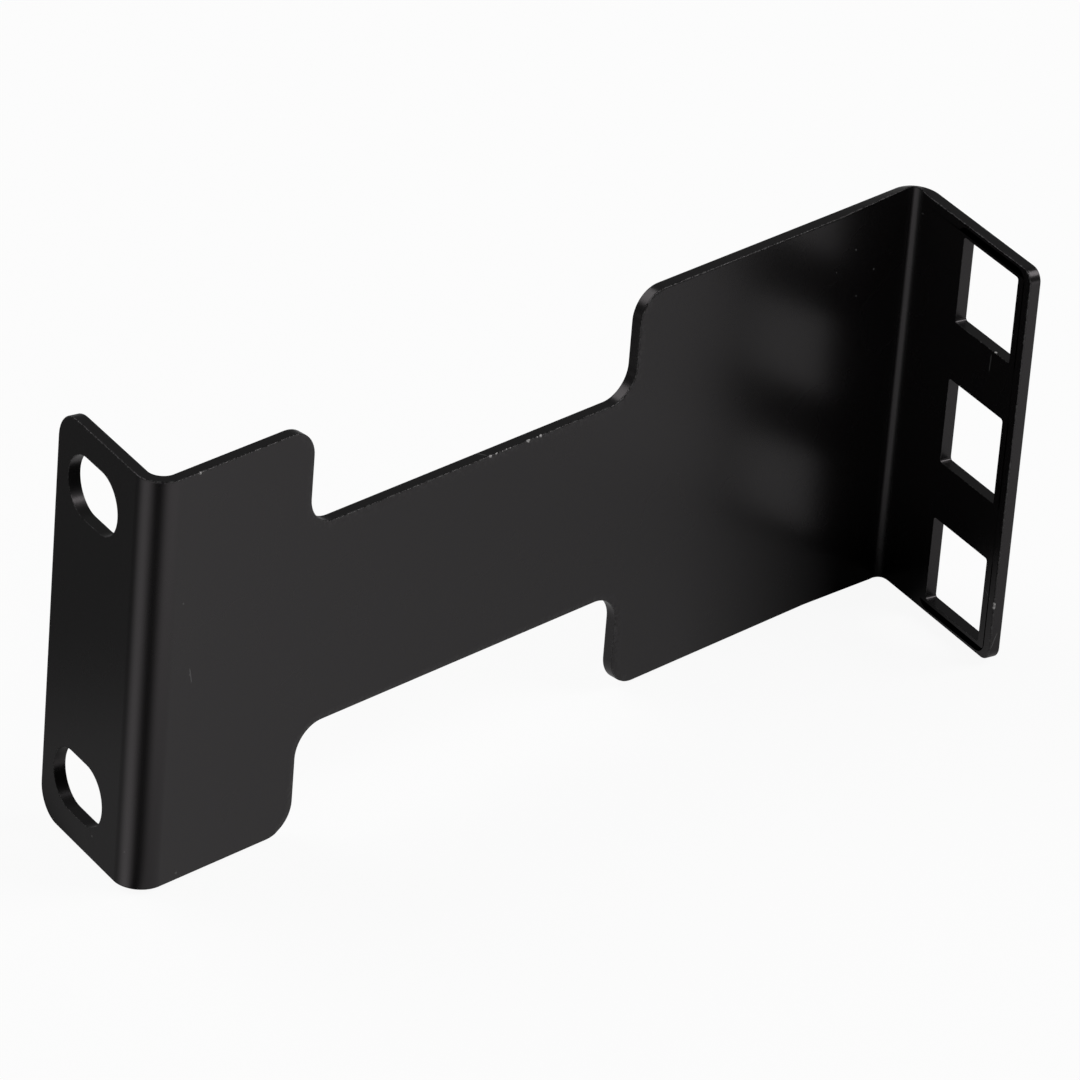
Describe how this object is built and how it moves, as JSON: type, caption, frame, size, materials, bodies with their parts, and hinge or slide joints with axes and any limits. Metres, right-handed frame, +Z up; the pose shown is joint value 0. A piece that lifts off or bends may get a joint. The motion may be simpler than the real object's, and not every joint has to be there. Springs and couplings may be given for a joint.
{
  "type": "rack depth extender",
  "caption": "Folded sheet-steel bracket that carries rack equipment forward of the rail, with a slotted rail flange, a necked slanting web and a flange of square cage-nut holes.",
  "frame": {"origin": "on the rail face, halfway between the two rail slots", "axes": "+X along the rack's depth from the rail face to the equipment face, +Y across the rack towards the rail flange's free edge, +Z up"},
  "size_m": [0.1016, 0.0238, 0.0442],
  "materials": {
    "black_coat": "satin black powder coat on steel"
  },
  "bodies": {
    "root": {"extender_bracket": "black_coat"}
  },
  "joints": []
}
